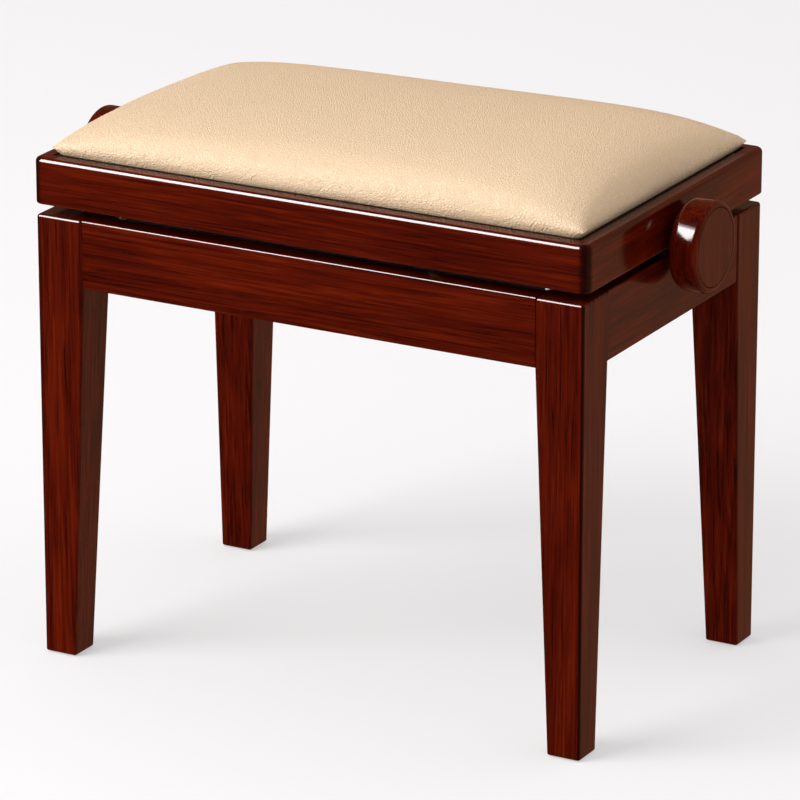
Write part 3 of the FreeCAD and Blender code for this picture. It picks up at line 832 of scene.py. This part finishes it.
# ---------------------------------------------------------------- knobs
def turned_knob(end, settings):
    """A wooden knob off the lathe: a round-edged disc on a boss, with a fine groove round its face."""
    low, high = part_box(f"knob_{end}")
    outward = 1 if end == "right" else -1
    radius = (high.z - low.z) / 2
    axis_z = (high.z + low.z) / 2
    face_x = high.x if end == "right" else low.x
    boss_x = low.x if end == "right" else high.x
    back_x = face_x - outward * settings.thickness
    deselect_all()
    bpy.ops.mesh.primitive_cylinder_add(
        vertices=96,
        radius=radius,
        depth=settings.thickness,
        end_fill_type="NGON",
        location=((face_x + back_x) / 2, 0, axis_z),
        rotation=(0, math.radians(90), 0),
    )
    knob = bpy.context.object
    bpy.ops.object.transform_apply(location=True, rotation=True, scale=True)
    for x, rounding in ((face_x, settings.face_rounding), (back_x, settings.back_rounding)):
        select_where(knob, lambda place: abs(place.x - x) < CLOSE)
        bpy.ops.mesh.region_to_loop()
        bpy.ops.mesh.bevel(offset=rounding, segments=10, profile=0.5, affect="EDGES")
    face_radius = radius - settings.face_rounding
    select_where(knob, lambda place: abs(place.x - face_x) < CLOSE)
    groove = settings.groove
    rings = ((0.6 * groove, 0), (groove / 2, -groove), (groove / 2, 1.1 * groove), (face_radius / 2, 0))
    for inset, step in rings:
        bpy.ops.mesh.inset(thickness=inset, depth=0, use_even_offset=False)
        bpy.ops.transform.translate(value=(outward * step, 0, 0))
    boss_radius, screw_radius = settings.boss_radius, settings.screw_radius
    select_where(knob, lambda place: abs(place.x - back_x) < CLOSE)
    bpy.ops.mesh.inset(thickness=radius - settings.back_rounding - boss_radius, depth=0)
    bpy.ops.mesh.extrude_region_move(TRANSFORM_OT_translate={"value": (boss_x - back_x, 0, 0)})
    bpy.ops.mesh.inset(thickness=boss_radius - settings.bore_radius, depth=0)
    bpy.ops.mesh.extrude_region_move(TRANSFORM_OT_translate={"value": (outward * settings.bore_depth, 0, 0)})
    bpy.ops.mesh.select_all(action="SELECT")
    bpy.ops.mesh.normals_make_consistent(inside=False)
    bpy.ops.object.mode_set(mode="OBJECT")
    screw_x = outward * (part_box("knob_grub_screws")[1].x - screw_radius)
    deselect_all()
    bpy.ops.mesh.primitive_cylinder_add(
        vertices=24,
        radius=screw_radius,
        depth=boss_radius,
        location=(screw_x, 0, axis_z + boss_radius),
    )
    drill = bpy.context.object
    cut = knob.modifiers.new("screw_hole", "BOOLEAN")
    cut.operation = "DIFFERENCE"
    cut.solver = "EXACT"
    cut.object = drill
    apply_modifiers(knob)
    bpy.data.objects.remove(drill)
    make_active(knob)
    bpy.ops.object.shade_smooth_by_angle(angle=math.radians(40))
    knob.name = f"turned_knob_{end}"
    return knob


class BENCH_OT_make_knobs(bpy.types.Operator):
    """Turns the two wooden knobs"""

    bl_idname = "bench.make_knobs"
    bl_label = "Make the knobs"

    def execute(self, context):
        material = lacquered_wood("lacquered_knobs", Z, context.scene.bench_wood)
        for end in SIDES:
            knob = turned_knob(end, context.scene.bench_knob)
            give([knob], material)
            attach(knob, "spindle")
            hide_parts(f"knob_{end}")
        return {"FINISHED"}


# ---------------------------------------------------------------- spindle
def thread_profile(settings, crest_radius):
    """One pitch of the thread as a line above the X axis: a flat root, a flat crest and sloping flanks."""
    shares = (0.0, 0.30, 0.45, 0.85, 1.0)
    radii = (settings.root_radius, settings.root_radius, crest_radius, crest_radius, settings.root_radius)
    deselect_all()
    bpy.ops.mesh.primitive_grid_add(x_subdivisions=4, y_subdivisions=1, size=2, location=(0, 0, 0))
    profile = bpy.context.object
    select_where(profile, lambda place: place.y < 0)
    bpy.ops.mesh.delete(type="VERT")
    bpy.ops.object.mode_set(mode="OBJECT")
    along = sorted(profile.data.vertices, key=lambda vertex: vertex.co.x)
    for vertex, share, radius in zip(along, shares, radii):
        vertex.co = (settings.lead * share, 0, radius)
    return profile


def threaded_spindle(settings):
    """A steel spindle with a coarse thread between two plain, chamfered ends."""
    low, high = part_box("spindle")
    axis_z = (low.z + high.z) / 2
    thread_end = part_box("stop_collars")[1].x
    turns = math.ceil(2 * thread_end / settings.lead) + 2
    spindle = thread_profile(settings, high.z - axis_z)
    thread = spindle.modifiers.new("thread", "SCREW")
    thread.axis = "X"
    thread.angle = 2 * math.pi
    thread.screw_offset = settings.lead
    thread.iterations = turns
    thread.steps = settings.steps
    thread.render_steps = settings.steps
    thread.use_merge_vertices = True
    thread.merge_threshold = CLOSE
    apply_modifiers(spindle)
    spindle.location = (-turns * settings.lead / 2, 0, axis_z)
    bpy.ops.object.transform_apply(location=True, rotation=True, scale=True)
    for x in (-thread_end, thread_end):
        bpy.ops.object.mode_set(mode="EDIT")
        bpy.ops.mesh.select_all(action="SELECT")
        bpy.ops.mesh.remove_doubles(threshold=CLOSE)
        bpy.ops.mesh.select_all(action="SELECT")
        bpy.ops.mesh.bisect(
            plane_co=(x, 0, axis_z),
            plane_no=(math.copysign(1, x), 0, 0),
            use_fill=True,
            clear_outer=True,
        )
        bpy.ops.object.mode_set(mode="OBJECT")
    plain_ends = []
    for outward in (-1, 1):
        deselect_all()
        bpy.ops.mesh.primitive_cylinder_add(
            vertices=48,
            radius=settings.end_radius,
            depth=high.x - thread_end,
            location=(outward * (high.x + thread_end) / 2, 0, axis_z),
            rotation=(0, math.radians(90), 0),
        )
        plain_end = bpy.context.object
        bpy.ops.object.transform_apply(location=True, rotation=True, scale=True)
        select_where(plain_end, lambda place: abs(place.x) > high.x - CLOSE)
        bpy.ops.mesh.region_to_loop()
        bpy.ops.mesh.bevel(offset=0.001, segments=1, affect="EDGES")
        bpy.ops.object.mode_set(mode="OBJECT")
        plain_ends.append(plain_end)
    make_active(spindle)
    for plain_end in plain_ends:
        plain_end.select_set(True)
    bpy.ops.object.join()
    bpy.ops.object.mode_set(mode="EDIT")
    bpy.ops.mesh.select_all(action="SELECT")
    bpy.ops.mesh.normals_make_consistent(inside=False)
    bpy.ops.object.mode_set(mode="OBJECT")
    bpy.ops.object.shade_smooth_by_angle(angle=math.radians(30))
    spindle.name = "threaded_spindle"
    return spindle


class BENCH_OT_make_spindle(bpy.types.Operator):
    """Cuts the threaded spindle that draws the scissors together"""

    bl_idname = "bench.make_spindle"
    bl_label = "Make the spindle"

    def execute(self, context):
        spindle = threaded_spindle(context.scene.bench_spindle)
        give([spindle], zinc_plated_steel("oiled_spindle_steel"))
        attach(spindle, "spindle")
        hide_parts("spindle")
        return {"FINISHED"}


# ---------------------------------------------------------------- steel, brass and the hidden woods
def powder_coated_steel():
    recipe = Recipe("powder_coated_steel")
    texture = recipe.noise(recipe.place(), 900.0, detail=2.0)
    colour = recipe.ramp(texture, [(0.35, (0.010, 0.010, 0.011)), (0.65, (0.019, 0.019, 0.020))])
    recipe.join(colour, recipe.shader.inputs["Base Color"])
    recipe.shader.inputs["Roughness"].default_value = 0.46
    recipe.join(recipe.bump(texture, 0.0002, 0.5), recipe.shader.inputs["Normal"])
    return recipe.material


def zinc_plated_steel(name="zinc_plated_steel"):
    recipe = Recipe(name)
    broad = recipe.noise(recipe.place(), 60.0, detail=3.0)
    fine = recipe.noise(recipe.place(), 1500.0, detail=1.0)
    colour = recipe.ramp(broad, [(0.35, (0.36, 0.36, 0.34)), (0.65, (0.50, 0.51, 0.52))])
    recipe.join(colour, recipe.shader.inputs["Base Color"])
    recipe.shader.inputs["Metallic"].default_value = 1.0
    dulled = recipe.math("ADD", recipe.math("MULTIPLY", broad, 0.2), 0.2)
    recipe.join(dulled, recipe.shader.inputs["Roughness"])
    recipe.join(recipe.bump(fine, 0.0001, 0.3), recipe.shader.inputs["Normal"])
    return recipe.material


def turned_brass():
    recipe = Recipe("turned_brass")
    rings = recipe.noise(recipe.place((1500, 60, 60)), 1.0, detail=2.0)
    colour = recipe.ramp(rings, [(0.3, (0.46, 0.31, 0.11)), (0.7, (0.66, 0.47, 0.19))])
    recipe.join(colour, recipe.shader.inputs["Base Color"])
    recipe.shader.inputs["Metallic"].default_value = 1.0
    recipe.shader.inputs["Roughness"].default_value = 0.3
    recipe.join(recipe.bump(rings, 0.0001, 0.4), recipe.shader.inputs["Normal"])
    return recipe.material


def plain_beech():
    recipe = Recipe("plain_beech")
    flecks = recipe.noise(recipe.place((350, 350, 60)), 1.0, detail=2.0)
    tone = recipe.noise(recipe.place((40, 40, 6)), 1.0, detail=2.0)
    ground = recipe.ramp(tone, [(0.3, (0.47, 0.27, 0.13)), (0.7, (0.60, 0.39, 0.21))])
    mask = recipe.ramp(flecks, [(0.60, 0.0), (0.68, 0.6)])
    recipe.join(recipe.mix(mask, ground, (0.34, 0.17, 0.08)), recipe.shader.inputs["Base Color"])
    recipe.shader.inputs["Roughness"].default_value = 0.6
    recipe.join(recipe.bump(flecks, 0.0001, 0.3), recipe.shader.inputs["Normal"])
    return recipe.material


def birch_plywood():
    """Pale face veneer with its grain along the bench. The plies show as bands on the edges."""
    recipe = Recipe("birch_plywood")
    grain = recipe.noise(recipe.place((9, 160, 160)), 1.0, detail=4.0, roughness=0.6, distortion=0.5)
    face = recipe.ramp(grain, [(0.3, (0.46, 0.31, 0.17)), (0.7, (0.66, 0.50, 0.32))])
    ply = recipe.nodes.new("ShaderNodeTexWave")
    ply.bands_direction = "Z"
    ply.inputs["Scale"].default_value = 105.0
    recipe.join(recipe.place(), ply.inputs["Vector"])
    bands = recipe.ramp(ply.outputs["Fac"], [(0.45, 0.0), (0.55, 0.45)])
    recipe.join(recipe.mix(bands, face, (0.30, 0.17, 0.08)), recipe.shader.inputs["Base Color"])
    recipe.shader.inputs["Roughness"].default_value = 0.7
    recipe.join(recipe.bump(grain, 0.0002, 0.3), recipe.shader.inputs["Normal"])
    return recipe.material


def brown_felt():
    recipe = Recipe("brown_felt")
    fibres = recipe.noise(recipe.place(), 2200.0, detail=3.0, roughness=0.7)
    colour = recipe.ramp(fibres, [(0.3, (0.020, 0.012, 0.008)), (0.7, (0.060, 0.038, 0.026))])
    recipe.join(colour, recipe.shader.inputs["Base Color"])
    recipe.shader.inputs["Roughness"].default_value = 1.0
    recipe.shader.inputs["Sheen Weight"].default_value = 0.4
    recipe.join(recipe.bump(fibres, 0.0004, 0.8), recipe.shader.inputs["Normal"])
    return recipe.material


class BENCH_OT_finish_metal(bpy.types.Operator):
    """Gives the steel, brass, plywood, beech and felt pieces their finishes"""

    bl_idname = "bench.finish_metal"
    bl_label = "Finish the hidden pieces"

    def execute(self, context):
        recipes = {
            "black_steel": powder_coated_steel,
            "plated_steel": zinc_plated_steel,
            "brass": turned_brass,
            "beech": plain_beech,
            "plywood": birch_plywood,
            "felt": brown_felt,
        }
        groups = {slot: [] for slot in recipes}
        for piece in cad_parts.values():
            slot = piece.data.materials[0].name
            if slot in groups:
                groups[slot].append(piece)
        for slot, pieces in groups.items():
            give(pieces, recipes[slot]())
        return {"FINISHED"}


# ---------------------------------------------------------------- studio
def area_light(name, place, target, width, height, power):
    data = bpy.data.lights.new(name, "AREA")
    data.shape = "RECTANGLE"
    data.size = width
    data.size_y = height
    data.energy = power
    light = bpy.data.objects.new(name, data)
    bpy.context.scene.collection.objects.link(light)
    light.location = place
    light.rotation_euler = (Vector(target) - Vector(place)).to_track_quat("-Z", "Y").to_euler()
    return light


class BENCH_OT_make_studio(bpy.types.Operator):
    """Makes the floor, the lights and the camera"""

    bl_idname = "bench.make_studio"
    bl_label = "Make the studio"

    def execute(self, context):
        settings = context.scene.bench_studio
        scene = context.scene
        bpy.ops.mesh.primitive_plane_add(size=40, location=(0, 0, 0))
        floor = context.object
        floor.name = "floor"
        recipe = Recipe("floor_paint")
        recipe.shader.inputs["Base Color"].default_value = (*settings.floor_colour, 1)
        recipe.shader.inputs["Roughness"].default_value = 1.0
        recipe.shader.inputs["Specular IOR Level"].default_value = 0.0
        recipe.shader.inputs["Emission Color"].default_value = (1, 0.985, 0.99, 1)
        recipe.shader.inputs["Emission Strength"].default_value = settings.floor_glow
        give([floor], recipe.material)
        floor.visible_glossy = False

        world = bpy.data.worlds.new("studio")
        scene.world = world
        world.use_nodes = True
        nodes, links = world.node_tree.nodes, world.node_tree.links
        room = nodes["Background"]
        room.inputs["Color"].default_value = (1, 0.985, 0.985, 1)
        direction = nodes.new("ShaderNodeTexCoord")
        upward = nodes.new("ShaderNodeSeparateXYZ")
        overhead = nodes.new("ShaderNodeMapRange")
        overhead.inputs["To Min"].default_value = settings.fill
        overhead.inputs["To Max"].default_value = settings.fill * settings.overhead
        links.new(direction.outputs["Generated"], upward.inputs[0])
        links.new(upward.outputs["Z"], overhead.inputs["Value"])
        links.new(overhead.outputs["Result"], room.inputs["Strength"])
        mirrored = nodes.new("ShaderNodeBackground")
        mirrored.inputs["Color"].default_value = (1, 0.52, 0.30, 1)
        towards_back_right = nodes.new("ShaderNodeVectorMath")
        towards_back_right.operation = "DOT_PRODUCT"
        towards_back_right.inputs[1].default_value = (0.5, 0.866, 0)
        brightness = nodes.new("ShaderNodeMapRange")
        brightness.inputs["From Min"].default_value = -0.2
        brightness.inputs["From Max"].default_value = 1.0
        brightness.inputs["To Min"].default_value = settings.mirrored_room * 0.05
        brightness.inputs["To Max"].default_value = settings.mirrored_room
        links.new(direction.outputs["Generated"], towards_back_right.inputs[0])
        links.new(towards_back_right.outputs["Value"], brightness.inputs["Value"])
        links.new(brightness.outputs["Result"], mirrored.inputs["Strength"])
        ray = nodes.new("ShaderNodeLightPath")
        choice = nodes.new("ShaderNodeMixShader")
        links.new(ray.outputs["Is Glossy Ray"], choice.inputs[0])
        links.new(room.outputs[0], choice.inputs[1])
        links.new(mirrored.outputs[0], choice.inputs[2])
        links.new(choice.outputs[0], nodes["World Output"].inputs["Surface"])

        seat_middle = Vector((0, 0, 0.45))
        key_place = seat_middle + Vector((-2.56, -3.20, 2.54))
        glint_place = seat_middle + Vector((-1.60, -2.00, 1.55))
        area_light("key_light", key_place, seat_middle - Vector((0, 0, 0.10)), 3.0, 3.8, settings.key)
        glint = area_light("glint_light", glint_place, seat_middle, 1.9, 2.0, settings.glint)
        glint.visible_diffuse = False

        data = bpy.data.cameras.new("camera")
        data.sensor_width = 36
        data.lens = settings.camera_lens
        data.clip_end = 100
        camera = bpy.data.objects.new("camera", data)
        scene.collection.objects.link(camera)
        azimuth, elevation = settings.camera_azimuth, settings.camera_elevation
        back = Vector(
            (
                math.sin(azimuth) * math.cos(elevation),
                -math.cos(azimuth) * math.cos(elevation),
                math.sin(elevation),
            )
        )
        target = Vector((0, 0, 0.230))
        camera.location = target + back * settings.camera_distance
        camera.rotation_euler = (-back).to_track_quat("-Z", "Y").to_euler()
        scene.camera = camera
        scene.view_settings.view_transform = "Standard"
        return {"FINISHED"}


# ---------------------------------------------------------------- add-on
class BENCH_PT_panel(bpy.types.Panel):
    """Lists the bench's pieces in the sidebar"""

    bl_idname = "BENCH_PT_panel"
    bl_label = "Piano Bench"
    bl_space_type = "VIEW_3D"
    bl_region_type = "UI"
    bl_category = "Bench"

    def draw(self, context):
        for operator in OPERATORS:
            self.layout.operator(operator.bl_idname)


SETTINGS = {
    "bench_wood": WoodSettings,
    "bench_leather": LeatherSettings,
    "bench_pad": PadSettings,
    "bench_knob": KnobSettings,
    "bench_spindle": SpindleSettings,
    "bench_studio": StudioSettings,
}
OPERATORS = (
    BENCH_OT_finish_wood,
    BENCH_OT_make_pad,
    BENCH_OT_make_knobs,
    BENCH_OT_make_spindle,
    BENCH_OT_finish_metal,
    BENCH_OT_make_studio,
)


def register():
    for name, settings in SETTINGS.items():
        bpy.utils.register_class(settings)
        setattr(bpy.types.Scene, name, bpy.props.PointerProperty(type=settings))
    for operator in OPERATORS:
        bpy.utils.register_class(operator)
    bpy.utils.register_class(BENCH_PT_panel)


def unregister():
    bpy.utils.unregister_class(BENCH_PT_panel)
    for operator in reversed(OPERATORS):
        bpy.utils.unregister_class(operator)
    for name, settings in reversed(SETTINGS.items()):
        delattr(bpy.types.Scene, name)
        bpy.utils.unregister_class(settings)


def main():
    register()
    bpy.ops.bench.finish_wood()
    bpy.ops.bench.make_pad()
    bpy.ops.bench.make_knobs()
    bpy.ops.bench.make_spindle()
    bpy.ops.bench.finish_metal()
    bpy.ops.bench.make_studio()


if __name__ == "__main__":
    main()
